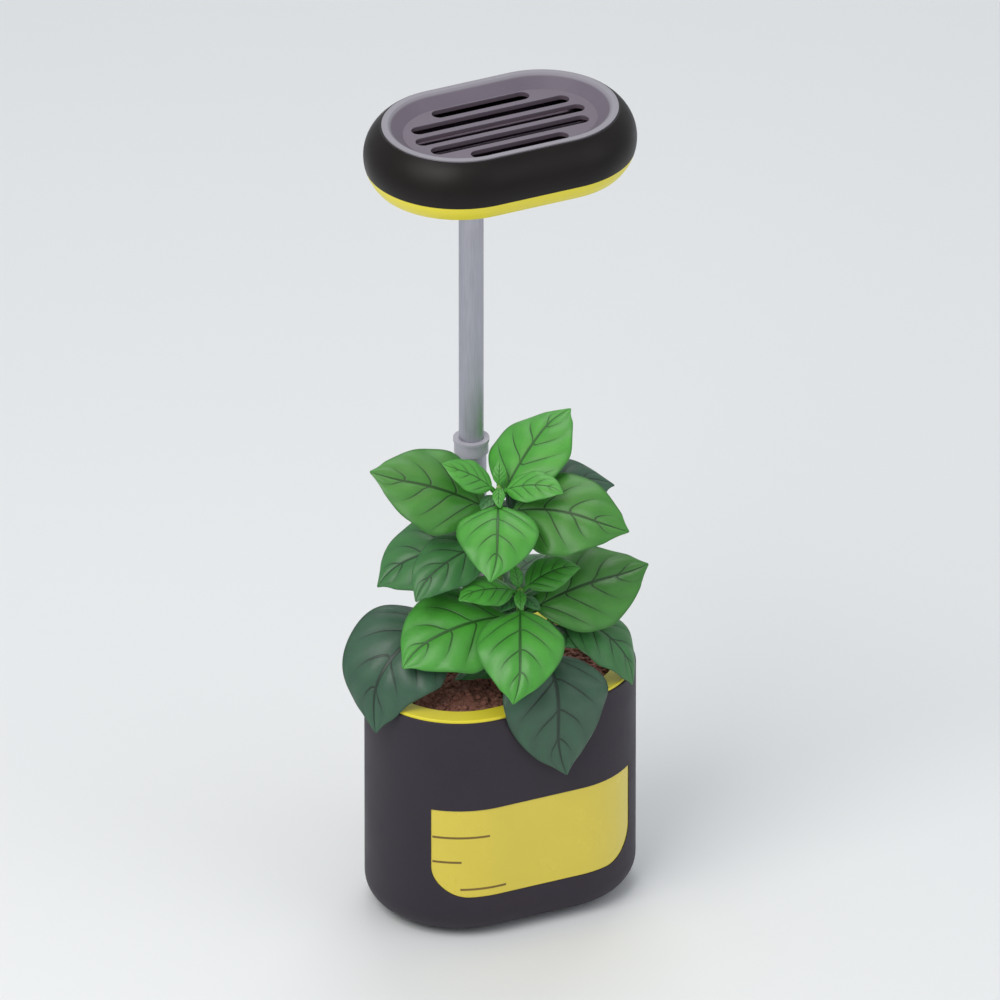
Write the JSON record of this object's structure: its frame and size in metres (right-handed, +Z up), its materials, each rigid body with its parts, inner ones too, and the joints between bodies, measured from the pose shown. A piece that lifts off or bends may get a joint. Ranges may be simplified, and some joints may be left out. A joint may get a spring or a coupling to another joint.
{
  "type": "smart plant pot",
  "caption": "Slot-shaped self-watering plant pot with a water window, a lift-out planter with a leafy plant, and a grow lamp on a telescopic arm.",
  "frame": {"origin": "middle of the foot pad's underside, on the table", "axes": "+Z up; +X along the pot's long side; the water window faces -Y and the arm stands at +Y"},
  "size_m": [0.1003, 0.0745, 0.282],
  "materials": {
    "pot_black": "fine matte moulding",
    "head_black": "satin moulding",
    "window_yellow": "clear-tinted gloss",
    "planter_yellow": "satin moulding",
    "mark_brown": "printed ink",
    "tank_milky": "milky gloss",
    "foot_rubber": "matte",
    "inner_black": "matte moulding",
    "button_grey": "matte moulding",
    "bush_white": "smooth moulding",
    "screw_steel": "plated",
    "board_green": "lacquered board",
    "tube_grey": "satin anodised",
    "collar_grey": "satin moulding",
    "grille_grey": "matte moulding",
    "sink_metal": "extruded",
    "light_board": "white lacquer",
    "led_white": "clear resin",
    "led_red": "clear resin",
    "diffuser": "frosted",
    "wick_cotton": "braided cotton",
    "soil_brown": "loose fibre and bark",
    "stem_green": "soft skin",
    "leaf_bright": "soft sheen",
    "leaf_dark": "soft sheen"
  },
  "bodies": {
    "pot": {"outer_shell": "pot_black", "window_lens": "window_yellow", "level_marks": "mark_brown", "water_tank": "tank_milky", "tank_screws": "screw_steel", "foot_pad": "foot_rubber", "arm_socket": "inner_black", "socket_bush": "bush_white", "socket_screws": "screw_steel", "socket_cap": "pot_black", "control_board": "board_green", "board_screws": "screw_steel", "control_chip": "inner_black", "lead_connector": "bush_white", "usb_socket": "screw_steel", "usb_tongue": "inner_black", "power_switch": "inner_black"},
    "power_button": {"power_button": "button_grey"},
    "planter": {"planter_basket": "planter_yellow", "wick": "wick_cotton", "soil_plug": "soil_brown", "plant_stems": "stem_green", "upper_leaves": "leaf_bright", "lower_leaves": "leaf_bright", "base_leaves": "leaf_dark", "young_leaves": "leaf_bright"},
    "lower_arm": {"lower_tube": "tube_grey", "lower_stop": "bush_white", "tube_foot": "bush_white", "tube_collar": "collar_grey"},
    "upper_arm": {"upper_tube": "tube_grey", "upper_stop": "bush_white", "neck_shoulder": "tube_grey", "neck_clip": "screw_steel"},
    "lamp_head": {"head_shell": "head_black", "vent_grille": "grille_grey", "heat_sink": "sink_metal", "head_screws": "screw_steel", "led_board": "light_board", "white_leds": "led_white", "red_leds": "led_red", "lens_bezel": "planter_yellow", "light_lens": "diffuser", "neck_bush": "bush_white"}
  },
  "joints": [
    {"name": "lower_slide", "type": "slide", "parent": "pot", "child": "lower_arm", "axis": [0, 0, 1], "range_m": [-0.04, 0]},
    {"name": "upper_slide", "type": "slide", "parent": "lower_arm", "child": "upper_arm", "axis": [0, 0, 1], "range_m": [-0.059, 0]},
    {"name": "head_swivel", "type": "hinge", "parent": "upper_arm", "child": "lamp_head", "pos_m": [0, 0.02195, 0.262], "axis": [0, 0, 1], "range_deg": [-90, 90]},
    {"name": "planter_lift", "type": "slide", "parent": "pot", "child": "planter", "axis": [0, 0, 1], "range_m": [0, 0.066]},
    {"name": "button_press", "type": "slide", "parent": "pot", "child": "power_button", "axis": [0, -1, 0], "range_m": [0, 0.0006], "stiffness_N_per_m": 1000, "springref_m": -0.0006}
  ]
}
